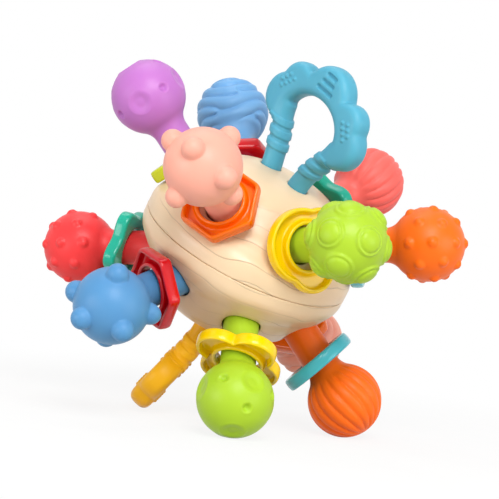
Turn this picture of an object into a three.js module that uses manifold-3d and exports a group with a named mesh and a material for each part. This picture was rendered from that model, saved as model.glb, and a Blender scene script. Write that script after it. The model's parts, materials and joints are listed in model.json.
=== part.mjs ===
import * as THREE from "three";
import { mergeVertices } from "three/addons/utils/BufferGeometryUtils.js";
import Module from "manifold-3d";

const wasm = await Module();
wasm.setup();

// Fits between pieces, in mm.
const stemGap = 0.6;
const lieGap = 0.4;
const seamGap = 0.3;
const facetTolerance = 0.06;

// Body: two half shells of a flattened ball with a thick rounded rim, joined at the seam z = 0.
const rimRadius = 40.5;
const poleHeight = 31;
const wall = 2.4;
const tongueWidth = 1.6;
const tongueHeight = 2.2;
// Outline of a half from the seam to the pole, as shares of the rim radius and of the pole height.
const shellOutline = [
  [1, 0],
  [0.995, 0.13],
  [0.963, 0.255],
  [0.895, 0.355],
  [0.822, 0.437],
  [0.775, 0.535],
  [0.73, 0.645],
  [0.655, 0.78],
  [0.54, 0.88],
  [0.38, 0.955],
  [0.2, 0.99],
  [0, 1],
];

// Soft arms: a ball on a round stem, held by a flange inside the shell.
const ballDistance = 66.6;
const ballRadius = 13.65;
const stemRadius = 6.4;
const neckFillet = 6;
const flangeRadius = 8.6;
const flangeThickness = 2.4;
const flangePlay = 1.2;
const bossWall = 1.8;

// Relief on the balls.
const bumpRadius = 4;
const targetRadius = 5.3;
const targetRise = 1.1;
const dishRadius = 4.1;
const dishDepth = 1.1;
const studRadius = 2.3;
const studTop = 0.9;
const studRise = 1.35;
const ridgeCount = 18;
const ridgeDepth = 0.9;
const ridgeSwirl = 12.6;

// Rings: an open channel between a shaped outer rim and a round inner rim.
const ringHeight = 4.8;
const ringHole = 7.9;
const ringRim = 1.7;
const ringFloor = 2;
const ringRest = 0.5;
const ringTiltLimit = 18;
const hexagonRadius = 15.6;
const roundRadius = 14.4;
const squareRadius = 15.8;
const starRadius = 16;
const starDip = 3.4;
// Lobes of the two clover rings by their distance, radius and angle.
const cloverLobes = [
  [1.8, 13.6, 90],
  [8, 8.6, 210],
  [8, 8.6, 330],
];
const fourLeafLobes = [45, 135, 225, 315].map((turn) => [8.5, 8.5, turn]);

// Cloud handles: w across the handle, h along the pole from the middle of the body.
const handleThickness = 9;
const handleRound = 2.6;
const legRadius = 4;
const legRoot = 8;
const legTopW = 14.8;
const legTopH = 49.4;
const legFlange = 6.2;
const legFlangeThickness = 2;
const legPlay = 1;
const bendLength = 12;
const ribRise = 0.6;
const ribWidth = 2.6;
const ribHeights = [38.6, 42.6, 46.6];
const archCentreH = 52.2;
const archHalfWidth = 13.8;
const archHeight = 10.5;
// Lobes of the cloud by their place from the middle of the arch.
const cloudLobes = [
  { w: 17.3, h: 2.7, r: 8.8 },
  { w: 14.4, h: 10.2, r: 7.6 },
  { w: 0, h: 13.2, r: 11 },
  { w: -14.4, h: 10.2, r: 7.6 },
  { w: -17.3, h: 2.7, r: 8.8 },
];

// Inside: a retainer behind the flanges in each half, its screws, and the rattle beads.
const retainerThickness = 1.8;
const retainerBrim = 34;
const retainerFootRadius = 26;
const retainerFoot = 6;
const retainerWaistRadius = 19.4;
const retainerWaist = 19;
const retainerTop = 23.4;
const retainerTopRadius = 15.6;
const retainerGap = 2.5;
const postRing = 30.9;
const postRadius = 3;
const screwRadius = 1.2;
const screwLength = 8;
const screwHead = 2.5;
const screwHeadHeight = 1.6;
const screwPoint = 1.5;
const screwGap = 0.2;
const beadRadius = 4;
const beadSpread = 54;
const beadCount = 3;

const colours = {
  cream: 0xebd7be,
  pink: 0xf5af9b,
  green: 0xaadc46,
  purple: 0xc882d7,
  blue: 0x6ea5e1,
  coral: 0xfa5f5a,
  orange: 0xff7d0a,
  red: 0xeb4141,
  skyBlue: 0x5a9bdc,
  cyan: 0x55b4d7,
  amber: 0xffb428,
  yellow: 0xfad200,
  teal: 0x14a587,
  lime: 0xc3c80a,
  white: 0xf2efe8,
  steel: 0x9aa0a6,
};

// Arms by azimuth about the pole and latitude, in degrees. A ring's place runs from 0, at the shell,
// to 1, at the neck of the ball; its tilt on the stem is about the arm's x and y.
const arms = [
  {
    name: "orange_stud", azimuth: 0, latitude: 29.5, relief: "stud", colour: "orange",
    ring: { name: "upper_cyan_round_ring", shape: "round", colour: "cyan", turn: 0, place: 0 },
  },
  {
    name: "green_target", azimuth: -59, latitude: 30.2, relief: "target", colour: "green",
    ring: { name: "upper_yellow_clover_ring", shape: "clover", colour: "yellow", turn: 180, place: 0 },
  },
  {
    name: "pink_bump", azimuth: -117, latitude: 31, relief: "bump", colour: "pink",
    ring: { name: "upper_orange_hexagon_ring", shape: "hexagon", colour: "orange", turn: 30, place: 0 },
  },
  {
    name: "purple_dimple", azimuth: 176.5, latitude: 30, relief: "dimple", colour: "purple",
    ring: { name: "upper_lime_square_ring", shape: "square", colour: "lime", turn: 20, place: 0 },
  },
  {
    name: "blue_wave", azimuth: 119.5, latitude: 27, relief: "plain", colour: "blue",
    ring: { name: "upper_red_hexagon_ring", shape: "hexagon", colour: "red", turn: 0, place: 0 },
  },
  {
    name: "coral_ridge", azimuth: 59, latitude: 27.5, relief: "ridge", colour: "coral",
    ring: { name: "upper_teal_star_ring", shape: "star", colour: "teal", turn: 0, place: 0 },
  },
  {
    name: "red_stud", azimuth: 169.5, latitude: -30, relief: "stud", colour: "red",
    ring: {
      name: "lower_teal_star_ring", shape: "star", colour: "teal",
      turn: 10, tilt: [5, -15], place: 0.75,
    },
  },
  {
    name: "blue_bump", azimuth: -122, latitude: -22, relief: "bump", colour: "skyBlue",
    ring: {
      name: "lower_red_hexagon_ring", shape: "hexagon", colour: "red",
      turn: -12, tilt: [14, 0], place: 0.35,
    },
  },
  {
    name: "green_dimple", azimuth: -69, latitude: -31.4, relief: "dimple", colour: "green",
    ring: {
      name: "lower_yellow_clover_ring", shape: "fourLeaf", colour: "yellow",
      turn: 34, tilt: [8, 7], place: 1,
    },
  },
  {
    name: "orange_ridge", azimuth: -12, latitude: -28, relief: "ridge", colour: "orange",
    ring: {
      name: "lower_cyan_round_ring", shape: "round", colour: "cyan",
      turn: 0, tilt: [-3, -7], place: 1,
    },
  },
  {
    name: "pink_wave", azimuth: 48, latitude: -32.3, relief: "plain", colour: "pink",
    ring: { name: "lower_orange_hexagon_ring", shape: "hexagon", colour: "orange", turn: 0, place: 1 },
  },
  {
    name: "purple_target", azimuth: 110, latitude: -30, relief: "target", colour: "purple",
    ring: { name: "lower_lime_square_ring", shape: "square", colour: "lime", turn: 0, place: 1 },
  },
];

// Handles by the azimuth of their plane; bend is how far the soft legs curve at rest, and towards is the
// way they curve, from x along the handle.
const handles = [
  { name: "blue_cloud_handle", side: 1, azimuth: -40, bend: 4, towards: 0, colour: "cyan" },
  { name: "yellow_cloud_handle", side: -1, azimuth: -96, bend: 16, towards: 90, colour: "amber" },
];
const feet = ["green_dimple_arm", "orange_ridge_arm", "yellow_cloud_handle"];

const radians = THREE.MathUtils.degToRad;
const vector = (x, y, z) => new THREE.Vector3(x, y, z);

// A closed geometry as a solid, turned right side out.
function solid(geometry, matrix = new THREE.Matrix4()) {
  const bare = new THREE.BufferGeometry();
  const whole = geometry.index ? geometry.toNonIndexed() : geometry;
  bare.setAttribute("position", whole.getAttribute("position").clone());
  bare.applyMatrix4(matrix);
  const merged = mergeVertices(bare, 1e-4);
  const build = (order) => {
    const triVerts = Uint32Array.from(merged.index.array);
    if (order < 0)
      for (let i = 0; i < triVerts.length; i += 3)
        [triVerts[i + 1], triVerts[i + 2]] = [triVerts[i + 2], triVerts[i + 1]];
    const vertProperties = merged.attributes.position.array;
    return new wasm.Manifold(new wasm.Mesh({ numProp: 3, vertProperties, triVerts }));
  };
  const made = build(1);
  return made.volume() < 0 ? build(-1) : made;
}

function geometryOf(body) {
  const mesh = body.simplify(facetTolerance).getMesh();
  const positions = new Float32Array(mesh.numVert * 3);
  for (let i = 0; i < mesh.numVert; i++)
    positions.set(mesh.vertProperties.subarray(i * mesh.numProp, i * mesh.numProp + 3), i * 3);
  const geometry = new THREE.BufferGeometry();
  geometry.setAttribute("position", new THREE.BufferAttribute(positions, 3));
  geometry.setIndex(new THREE.BufferAttribute(Uint32Array.from(mesh.triVerts), 1));
  geometry.computeVertexNormals();
  return geometry;
}

function piece(name, body, colour, soft) {
  const material = new THREE.MeshStandardMaterial({ color: colours[colour], roughness: soft ? 0.7 : 0.35 });
  const mesh = new THREE.Mesh(geometryOf(body), material);
  mesh.name = name;
  return mesh;
}

// A profile of [radius, height] pairs turned about z.
function lathe(profile, segments) {
  const points = profile.map(([r, h]) => new THREE.Vector2(r, h));
  return new THREE.LatheGeometry(points, segments).rotateX(Math.PI / 2);
}

// A round bar along z from low to high.
function bar(radius, low, high, segments) {
  return lathe([[0, low], [radius, low], [radius, high], [0, high]], segments);
}

// A round bar of steps, each with its radius, low and high end.
function stepped(steps, segments) {
  const side = steps.flatMap(([radius, low, high]) => [[radius, low], [radius, high]]);
  return lathe([[0, steps[0][1]], ...side, [0, steps.at(-1)[2]]], segments);
}

// A flat shape raised along z from low to high.
function slab(outline, low, high) {
  const shape = new THREE.Shape(outline);
  const geometry = new THREE.ExtrudeGeometry(shape, { depth: high - low, bevelEnabled: false });
  return geometry.translate(0, 0, low);
}

// Shell outline, its inner offset, and where a line from the middle at a latitude leaves it.
const shellCurve = new THREE.SplineCurve(
  shellOutline.map(([r, h]) => new THREE.Vector2(r * rimRadius, h * poleHeight)),
);
const outerPoints = shellCurve.getPoints(12);
const innerPoints = outerPoints.map((point, i) => {
  const tangent = shellCurve.getTangent(i / (outerPoints.length - 1));
  return new THREE.Vector2(point.x - wall * tangent.y, point.y + wall * tangent.x);
});

function surfaceAt(latitude) {
  const rise = Math.tan(radians(Math.abs(latitude)));
  const k = outerPoints.findIndex((p) => p.y > rise * p.x);
  const a = outerPoints[k - 1];
  const b = outerPoints[k];
  const share = (rise * a.x - a.y) / (b.y - a.y - rise * (b.x - a.x));
  return a.clone().lerp(b, share).length();
}

function reachAlong(latitude) {
  const direction = new THREE.Vector2(Math.cos(radians(latitude)), Math.sin(Math.abs(radians(latitude))));
  return Math.max(...outerPoints.map((p) => p.dot(direction)));
}

// Frame of an arm: its z runs out along the stem and its x lies in the plane of the pole.
function armMatrix(arm) {
  const turn = new THREE.Euler(0, Math.PI / 2 - radians(arm.latitude), radians(arm.azimuth), "ZYX");
  return new THREE.Matrix4().makeRotationFromEuler(turn);
}

// Frame of a handle: x across it, z along the pole.
function handleMatrix(handle) {
  const turn = new THREE.Matrix4().makeRotationZ(radians(handle.azimuth));
  return handle.side > 0 ? turn : turn.multiply(new THREE.Matrix4().makeRotationX(Math.PI));
}

const poleFloor = innerPoints.at(-1).y;
const legSeat = poleFloor - stemGap;
const legPivot = legSeat + wall / 2;
const legLow = legSeat - legPlay - legFlangeThickness;
const up = (side) => new THREE.Matrix4().makeRotationX(side > 0 ? 0 : Math.PI);

// Directions over a ball: how far above its girdle, and the turn round its stem.
const fifths = [0, 72, 144, 216, 288];
const sixths = [30, 90, 150, 210, 270, 330];
const reliefSpots = {
  stud: [
    [90, 0],
    ...fifths.map((turn) => [52.6, turn + 36]),
    ...fifths.map((turn) => [26.6, turn]),
    ...fifths.map((turn) => [10.8, turn + 36]),
    ...fifths.map((turn) => [-10.8, turn]),
    ...fifths.map((turn) => [-26.6, turn + 36]),
  ],
  target: [[90, 0], ...sixths.map((turn) => [28, turn]), ...sixths.map((turn) => [-25, turn])],
  bump: [[90, 0], [25, 90], [25, 270], [0, 0], [0, 180], [-41, 90], [-41, 270]],
  dimple: [[90, 0], [0, 0], [0, 90], [0, 180], [0, 270]],
};

function spotMatrix([latitude, azimuth], distance) {
  const place = new THREE.Matrix4().makeTranslation(0, 0, ballDistance);
  const turn = new THREE.Euler(0, Math.PI / 2 - radians(latitude), radians(azimuth), "ZYX");
  place.multiply(new THREE.Matrix4().makeRotationFromEuler(turn));
  return place.multiply(new THREE.Matrix4().makeTranslation(0, 0, distance));
}

// The stem flares into the ball from neckStart on.
const flareRadius = stemRadius + neckFillet;
const flareDrop = Math.sqrt((ballRadius + neckFillet) ** 2 - flareRadius ** 2);
const flareSweep = Math.atan2(flareDrop, flareRadius);
const neckStart = ballDistance - flareDrop;

function armProfile(seat) {
  const flangeTop = seat - flangePlay;
  const flangeLow = flangeTop - flangeThickness;
  const profile = [
    [0, flangeLow],
    [flangeRadius, flangeLow],
    [flangeRadius, flangeTop],
    [stemRadius, flangeTop],
    [stemRadius, neckStart],
  ];
  for (const share of [0.33, 0.67]) {
    const a = flareSweep * share;
    profile.push([flareRadius - neckFillet * Math.cos(a), neckStart + neckFillet * Math.sin(a)]);
  }
  const rings = 8;
  for (let i = 0; i <= rings; i++) {
    const a = -flareSweep + ((flareSweep + Math.PI / 2) * i) / rings;
    const r = i < rings ? ballRadius * Math.cos(a) : 0;
    profile.push([r, ballDistance + ballRadius * Math.sin(a)]);
  }
  return profile;
}

// Meridional grooves that swirl a little from the neck to the tip.
function ridge(geometry) {
  const position = geometry.getAttribute("position");
  for (let i = 0; i < position.count; i++) {
    const p = vector(position.getX(i), position.getY(i), position.getZ(i) - ballDistance);
    const girdle = Math.hypot(p.x, p.y) / ballRadius;
    if (p.length() > 1.01 * ballRadius || p.z < -0.7 * ballRadius || girdle < 0.3) continue;
    const wave = Math.cos(ridgeCount * Math.atan2(p.y, p.x));
    const size = 1 - (ridgeDepth / ballRadius) * girdle * (0.5 - 0.5 * wave);
    p.multiply(vector(size, size, 1));
    p.applyAxisAngle(vector(0, 0, 1), (-radians(ridgeSwirl) * p.z) / ballRadius);
    position.setXY(i, p.x, p.y);
  }
  return geometry;
}

const bump = () => new THREE.SphereGeometry(bumpRadius, 7, 4).rotateX(Math.PI / 2);
const disc = () => bar(targetRadius, -2 * targetRise, targetRise / 2, 8);

function stud() {
  const low = -studRise;
  return lathe([[0, low], [studRadius, low], [studRadius, 0], [studTop, studRise], [0, studRise]], 6);
}

function dish() {
  const top = 2 * dishDepth;
  return lathe([[0, -dishDepth], [dishRadius, 0], [dishRadius, top], [0, top]], 7);
}

function armBody(arm) {
  const seat = surfaceAt(arm.latitude) - wall;
  const facets = { ridge: 2 * ridgeCount, plain: 16 };
  const turned = lathe(armProfile(seat), facets[arm.relief] ?? 12);
  let body = solid(arm.relief === "ridge" ? ridge(turned) : turned);
  const on = (form, spot, distance) => solid(form(), spotMatrix(spot, distance));
  for (const spot of reliefSpots[arm.relief] ?? []) {
    if (arm.relief === "stud") body = body.add(on(stud, spot, ballRadius));
    if (arm.relief === "bump") body = body.add(on(bump, spot, ballRadius));
    if (arm.relief === "target") body = body.add(on(disc, spot, ballRadius - targetRise / 2));
    if (arm.relief === "dimple") body = body.subtract(on(dish, spot, ballRadius - dishDepth / 2));
  }
  return body;
}

// Ring outlines as how far the rim stands from the axis at a list of angles, in degrees.
const ringShapes = {
  round: () => ({ angles: even(20), radius: () => roundRadius }),
  hexagon: () => roundedPolygon(6, hexagonRadius, 0.93, [-8.6, 0, 8.6]),
  square: () => roundedPolygon(4, squareRadius, 0.8, [-17.1, -6, 6, 17.1]),
  star: () => ({ angles: even(20), radius: star }),
  clover: () => ({ angles: even(24), radius: (angle) => lobed(cloverLobes, angle) }),
  fourLeaf: () => ({ angles: even(24), radius: (angle) => lobed(fourLeafLobes, angle) }),
};

function even(count) {
  return Array.from({ length: count }, (_, i) => (360 * i) / count);
}

function star(angle) {
  return starRadius - (starDip * (1 - Math.cos(5 * angle))) / 2;
}

// A rim round a few circles.
function lobed(lobes, angle) {
  const ends = lobes.map(([distance, size, turn]) => {
    const d = angle - radians(turn);
    const under = size ** 2 - (distance * Math.sin(d)) ** 2;
    return under > 0 ? distance * Math.cos(d) + Math.sqrt(under) : 0;
  });
  return Math.max(...ends);
}

// A regular polygon whose corners are cut back to a share of their radius.
function roundedPolygon(sides, corner, cutBack, spread) {
  const step = 360 / sides;
  const flat = corner * Math.cos(Math.PI / sides);
  const radius = (angle) => {
    const within = angle - radians(step) * Math.round(angle / radians(step));
    return Math.min(flat / Math.cos(Math.PI / sides - Math.abs(within)), corner * cutBack);
  };
  const angles = even(sides).flatMap((a) => spread.map((d) => a + d));
  return { angles, radius };
}

function ringOutline(shape, inset) {
  const { angles, radius } = ringShapes[shape]();
  return angles.map((angle) => {
    const a = radians(angle);
    const r = radius(a) - inset;
    return new THREE.Vector2(r * Math.cos(a), r * Math.sin(a));
  });
}

function ringBody(ring) {
  const top = ringHeight / 2;
  const floor = ringFloor - top;
  const channel = solid(slab(ringOutline(ring.shape, ringRim), floor, ringHeight))
    .subtract(solid(bar(ringHole + ringRim, -ringHeight, 2 * ringHeight, 16)));
  return solid(slab(ringOutline(ring.shape, 0), -top, top))
    .subtract(solid(bar(ringHole, -ringHeight, ringHeight, 16)))
    .subtract(channel);
}

// How far the cloud and the arch stand from the middle of the arch in one direction.
function cloudReach(a) {
  const ends = cloudLobes.map((lobe) => {
    const middle = lobe.w * Math.cos(a) + lobe.h * Math.sin(a);
    const under = lobe.r ** 2 - lobe.w ** 2 - lobe.h ** 2 + middle ** 2;
    return under > 0 ? middle + Math.sqrt(under) : 0;
  });
  return Math.max(...ends);
}

function archReach(a) {
  return 1 / Math.hypot(Math.cos(a) / archHalfWidth, Math.sin(a) / archHeight);
}

// The cloud's outline out and over, then the arch back.
function cloudOutline() {
  const { w, h, r } = cloudLobes[0];
  const first = Math.atan2(h, w) - 0.97 * Math.asin(r / Math.hypot(w, h));
  const along = (count, reach) =>
    Array.from({ length: count + 1 }, (_, i) => {
      const a = first + ((Math.PI - 2 * first) * i) / count;
      return new THREE.Vector2(reach(a) * Math.cos(a), archCentreH + reach(a) * Math.sin(a));
    });
  return [...along(36, cloudReach), ...along(14, archReach).reverse()];
}

// A leg from its flange up through the wall and out to the cloud.
function legBody(side) {
  const path = new THREE.CatmullRomCurve3([
    vector(side * legRoot, 0, legLow + 0.5),
    vector(side * legRoot, 0, legPivot + wall),
    vector(side * (0.62 * legRoot + 0.38 * legTopW), 0, (legPivot + legTopH) / 2 + 1),
    vector(side * legTopW, 0, legTopH),
    vector(side * (legTopW + 1), 0, legTopH + 4),
  ]);
  const circle = new THREE.Shape().absarc(0, 0, legRadius, 0, 2 * Math.PI);
  const leg = new THREE.ExtrudeGeometry(circle, { extrudePath: path, steps: 6, curveSegments: 5 });
  let body = solid(leg);
  const foot = bar(legFlange, legLow, legLow + legFlangeThickness, 12);
  body = body.add(solid(foot, new THREE.Matrix4().makeTranslation(side * legRoot, 0, 0)));
  const stations = path.getSpacedPoints(60);
  for (const height of ribHeights) {
    const i = stations.findIndex((p) => p.z > height);
    const axis = stations[i + 1].clone().sub(stations[i]).normalize();
    const turn = new THREE.Quaternion().setFromUnitVectors(vector(0, 0, 1), axis);
    const place = new THREE.Matrix4().compose(stations[i], turn, vector(1, 1, 1));
    body = body.add(solid(bar(legRadius + ribRise, -ribWidth / 2, ribWidth / 2, 10), place));
  }
  return body;
}

// The legs curve over the bend length, outside the shell, and carry the cloud along.
function bent(body, handle) {
  const low = poleHeight + stemGap;
  const radius = bendLength / radians(handle.bend);
  const bow = (p) => {
    const along = Math.max(p[2] - low, 0);
    const a = Math.min(along, bendLength) / radius;
    const beyond = Math.max(along - bendLength, 0);
    const x = p[0];
    if (along === 0) return;
    p[0] = radius * (1 - Math.cos(a)) + x * Math.cos(a) + beyond * Math.sin(a);
    p[2] = low + (radius - x) * Math.sin(a) + beyond * Math.cos(a);
  };
  return body.rotate([0, 0, -handle.towards]).warp(bow).rotate([0, 0, handle.towards]);
}

function handleBody(handle) {
  const shape = new THREE.Shape(cloudOutline());
  const cloud = new THREE.ExtrudeGeometry(shape, {
    depth: handleThickness - 2 * handleRound,
    bevelThickness: handleRound,
    bevelSize: handleRound,
    bevelOffset: -handleRound,
    bevelSegments: 1,
  });
  cloud.translate(0, 0, handleRound - handleThickness / 2).rotateX(Math.PI / 2);
  return bent(solid(cloud).add(legBody(1)).add(legBody(-1)), handle);
}

// Screw posts stand midway between neighbouring arms, in every second space.
function postAzimuths(side) {
  const turns = arms
    .filter((arm) => arm.latitude * side > 0)
    .map((arm) => (arm.azimuth + 360) % 360)
    .sort((a, b) => a - b);
  return [0, 2, 4].map((i) => (turns[i] + (turns[i + 1] ?? turns[0] + 360)) / 2);
}

function postMatrix(side, azimuth) {
  const turn = new THREE.Matrix4().makeRotationZ(radians(azimuth));
  return turn.multiply(new THREE.Matrix4().makeTranslation(postRing, 0, 0)).multiply(up(side));
}

const brimTop = retainerGap + retainerThickness;

function shellBody(side) {
  const outline = outerPoints.map((p) => [p.x, Math.max(p.y, seamGap / 2)]);
  outline[outline.length - 1][0] = 0;
  const outer = solid(lathe([[0, seamGap / 2], ...outline], 28), up(side));
  const hollow = innerPoints.filter((p, i) => i < 3 || i % 2 === 0).map((p) => [Math.max(p.x, 0), p.y]);
  hollow[0][1] = -1;
  hollow[hollow.length - 1][0] = 0;
  let cavity = solid(lathe([[0, -1], ...hollow], 28), up(side));
  const cuts = [];
  for (const arm of arms.filter((a) => a.latitude * side > 0)) {
    const seat = surfaceAt(arm.latitude) - wall;
    const counterbore = flangeRadius + stemGap;
    const boss = bar(counterbore + bossWall, seat - wall, ballDistance, 8);
    cavity = cavity.subtract(solid(boss, armMatrix(arm)));
    const hole = stemRadius + stemGap;
    const inner = seat - 2 * flangePlay - flangeThickness - wall;
    cuts.push(solid(stepped([[counterbore, inner, seat], [hole, seat, ballDistance]], 12), armMatrix(arm)));
  }
  for (const azimuth of postAzimuths(side)) {
    const post = bar(postRadius, brimTop + lieGap, poleHeight, 8);
    cavity = cavity.subtract(solid(post, postMatrix(side, azimuth)));
    const bore = bar(screwRadius + screwGap, 0, brimTop + screwLength + screwPoint, 8);
    cuts.push(solid(bore, postMatrix(side, azimuth)));
  }
  for (const handle of handles.filter((h) => h.side === side))
    for (const w of [-legRoot, legRoot]) {
      const matrix = handleMatrix(handle).multiply(new THREE.Matrix4().makeTranslation(w, 0, 0));
      const counterbore = legFlange + stemGap;
      const hole = legRadius + stemGap;
      const boss = bar(counterbore + bossWall, legSeat - wall, 2 * poleHeight, 8);
      cavity = cavity.subtract(solid(boss, matrix));
      const tool = stepped([[counterbore, legLow - wall, legSeat], [hole, legSeat, 2 * poleHeight]], 12);
      cuts.push(solid(tool, matrix));
    }
  let body = outer.subtract(cavity);
  if (side < 0) {
    const edge = rimRadius - wall;
    const lip = [
      [edge - seamGap - tongueWidth, -7],
      [edge + wall / 4, -7],
      [edge + wall / 4, -2 * seamGap],
      [edge - seamGap, -2 * seamGap],
      [edge - seamGap, tongueHeight],
      [edge - seamGap - tongueWidth, tongueHeight],
      [edge - seamGap - tongueWidth, -7],
    ];
    body = body.add(solid(lathe(lip, 28)));
  }
  for (const cut of cuts) body = body.subtract(cut);
  return body;
}

function retainerBody(side) {
  const t = retainerThickness;
  const profile = [
    [retainerFootRadius, retainerGap],
    [retainerBrim, retainerGap],
    [retainerBrim, brimTop],
    [retainerFootRadius + t, brimTop],
    [retainerFootRadius, retainerFoot],
    [retainerWaistRadius, retainerWaist],
    [retainerTopRadius, retainerTop],
    [0, retainerTop],
    [0, retainerTop - t],
    [retainerTopRadius - t, retainerTop - t],
    [retainerWaistRadius - t, retainerWaist - t / 3],
    [retainerFootRadius - t, retainerFoot - t / 3],
    [retainerFootRadius, retainerGap],
  ];
  let body = solid(lathe(profile, 20), up(side));
  for (const arm of arms.filter((a) => a.latitude * side > 0)) {
    const seat = surfaceAt(arm.latitude) - wall;
    const low = seat - 2 * flangePlay - flangeThickness;
    const pocket = flangeRadius + flangePlay;
    const shoulder = seat - wall - lieGap;
    const boss = flangeRadius + stemGap + bossWall + 2 * lieGap;
    const tool = stepped([[pocket, low, shoulder], [boss, shoulder, ballDistance]], 10);
    body = body.subtract(solid(tool, armMatrix(arm)));
  }
  const bore = bar(screwRadius + 2 * screwGap, 0, 2 * brimTop, 8);
  for (const azimuth of postAzimuths(side)) body = body.subtract(solid(bore, postMatrix(side, azimuth)));
  return body;
}

function screwBody() {
  const head = retainerGap - screwGap;
  const low = head - screwHeadHeight;
  const tip = head + screwLength;
  const shank = [[screwRadius, head], [screwRadius, tip - screwPoint], [0, tip]];
  return solid(lathe([[0, low], [screwHead, low], [screwHead, head], ...shank], 8));
}

const toy = new THREE.Group();
toy.name = "toy";

for (const [side, label] of [[1, "upper"], [-1, "lower"]]) {
  toy.add(piece(label + "_shell", shellBody(side), "cream", false));
  toy.add(piece(label + "_retainer", retainerBody(side), "white", false));
}

const armGroups = new Map();
for (const arm of arms) {
  const group = new THREE.Group();
  group.applyMatrix4(armMatrix(arm));
  group.add(piece(arm.name + "_arm", armBody(arm), arm.colour, true));
  armGroups.set(arm, group);
  toy.add(group);
}

for (const handle of handles) {
  const group = new THREE.Group();
  group.applyMatrix4(handleMatrix(handle));
  group.add(piece(handle.name, handleBody(handle), handle.colour, true));
  toy.add(group);
}

// The toy lies on its three feet: turn it until their lowest points are level.
function lowest(name, skyward) {
  const mesh = toy.getObjectByName(name);
  const position = mesh.geometry.getAttribute("position");
  let found = null;
  for (let i = 0; i < position.count; i++) {
    const p = new THREE.Vector3().fromBufferAttribute(position, i).applyMatrix4(mesh.matrixWorld);
    if (!found || p.dot(skyward) < found.dot(skyward)) found = p;
  }
  return found;
}

toy.updateMatrixWorld(true);
const skyward = vector(-0.38, 0.28, 0.88).normalize();
for (let i = 0; i < 8; i++) {
  const [a, b, c] = feet.map((name) => lowest(name, skyward));
  const normal = b.sub(a).cross(c.sub(a)).normalize();
  skyward.copy(normal.dot(skyward) < 0 ? normal.negate() : normal);
}

// Each ring hangs on its stem, between the shell and the neck of the ball. A tilted ring sags less.
const ringSag = ringHole - stemRadius - ringRest;
const ringStop = neckStart + Math.sqrt(neckFillet ** 2 - (neckFillet - ringRest / 2) ** 2);
for (const arm of arms) {
  const group = armGroups.get(arm);
  const sky = skyward.clone().applyQuaternion(group.quaternion.clone().invert());
  const [tiltX, tiltY] = (arm.ring.tilt ?? [0, 0]).map(radians);
  const tilt = Math.acos(Math.cos(tiltX) * Math.cos(tiltY));
  const hang = vector(-sky.x, -sky.y, 0).setLength(ringSag * (1 - tilt / radians(ringTiltLimit)));
  const rim = Math.max(...ringOutline(arm.ring.shape, 0).map((p) => p.length()));
  const half = (ringHeight / 2) * Math.cos(tilt);
  const inner = reachAlong(arm.latitude) + lieGap + half + rim * Math.sin(tilt);
  const outer = ringStop - half - (ringHole + ringRim) * Math.sin(tilt);
  const ring = piece(arm.ring.name, ringBody(arm.ring), arm.ring.colour, false);
  ring.position.set(hang.x, hang.y, inner + (outer - inner) * arm.ring.place);
  ring.rotation.set(tiltX, tiltY, radians(arm.ring.turn));
  group.add(ring);
}

// Beads lie at the low edge of the lower retainer, side by side.
const lowSide = Math.atan2(-skyward.y, -skyward.x);
const beadRing = retainerTopRadius - retainerThickness - beadRadius;
for (let i = 0; i < beadCount; i++) {
  const a = lowSide + radians(beadSpread) * (i - (beadCount - 1) / 2);
  const ball = solid(new THREE.IcosahedronGeometry(beadRadius, 1));
  const bead = piece("rattle_bead_" + (i + 1), ball, "coral", false);
  const rest = retainerThickness + beadRadius + lieGap / 4 - retainerTop;
  bead.position.set(beadRing * Math.cos(a), beadRing * Math.sin(a), rest);
  toy.add(bead);
}

for (const [side, label] of [[1, "upper"], [-1, "lower"]])
  postAzimuths(side).forEach((azimuth, i) => {
    const screw = piece(label + "_retainer_screw_" + (i + 1), screwBody(), "steel", false);
    screw.applyMatrix4(postMatrix(side, azimuth));
    toy.add(screw);
  });

// Stand it on the floor with the toy's x axis along the part's x and the origin under the middle.
const ahead = vector(1, 0, 0).addScaledVector(skyward, -skyward.x).normalize();
const across = skyward.clone().cross(ahead);
toy.applyMatrix4(new THREE.Matrix4().makeBasis(ahead, across, skyward).transpose());

const part = new THREE.Group();
part.name = "rattle_teether";
part.add(toy);
part.updateMatrixWorld(true);
const box = new THREE.Box3().setFromObject(part, true);
toy.position.sub(vector((box.min.x + box.max.x) / 2, (box.min.y + box.max.y) / 2, box.min.z));

export default part;
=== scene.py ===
import json
import math

import bmesh
import bpy
from mathutils import Matrix, Vector, kdtree, noise


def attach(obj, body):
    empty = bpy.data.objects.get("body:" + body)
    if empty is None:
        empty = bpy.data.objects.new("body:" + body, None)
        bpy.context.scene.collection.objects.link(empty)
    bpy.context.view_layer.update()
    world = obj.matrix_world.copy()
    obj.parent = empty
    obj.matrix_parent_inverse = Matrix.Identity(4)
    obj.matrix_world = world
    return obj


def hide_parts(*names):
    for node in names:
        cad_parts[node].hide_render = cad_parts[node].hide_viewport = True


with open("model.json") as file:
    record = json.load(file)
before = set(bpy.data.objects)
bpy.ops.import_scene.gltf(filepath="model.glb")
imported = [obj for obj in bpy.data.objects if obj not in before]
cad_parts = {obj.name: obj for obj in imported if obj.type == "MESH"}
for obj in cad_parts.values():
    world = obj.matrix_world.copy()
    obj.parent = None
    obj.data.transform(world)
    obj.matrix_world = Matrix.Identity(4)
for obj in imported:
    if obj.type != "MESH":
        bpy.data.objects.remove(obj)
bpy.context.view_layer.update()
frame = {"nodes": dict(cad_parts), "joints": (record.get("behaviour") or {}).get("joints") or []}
print("frame:", len(frame["nodes"]), "CAD nodes")

scene = bpy.context.scene
joints = {joint["name"]: joint for joint in frame["joints"]}
toMetres = Matrix.Scale(0.001, 4)  # pieces are shaped in mm and placed in metres


def smooth(low, high, value):
    t = min(max((value - low) / (high - low), 0.0), 1.0)
    return t * t * (3 - 2 * t)


def softMax(a, b, k):  # the larger one, rounded over where both are near
    h = max(k - abs(a - b), 0.0) / k
    return max(a, b) + h * h * k / 4


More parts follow.
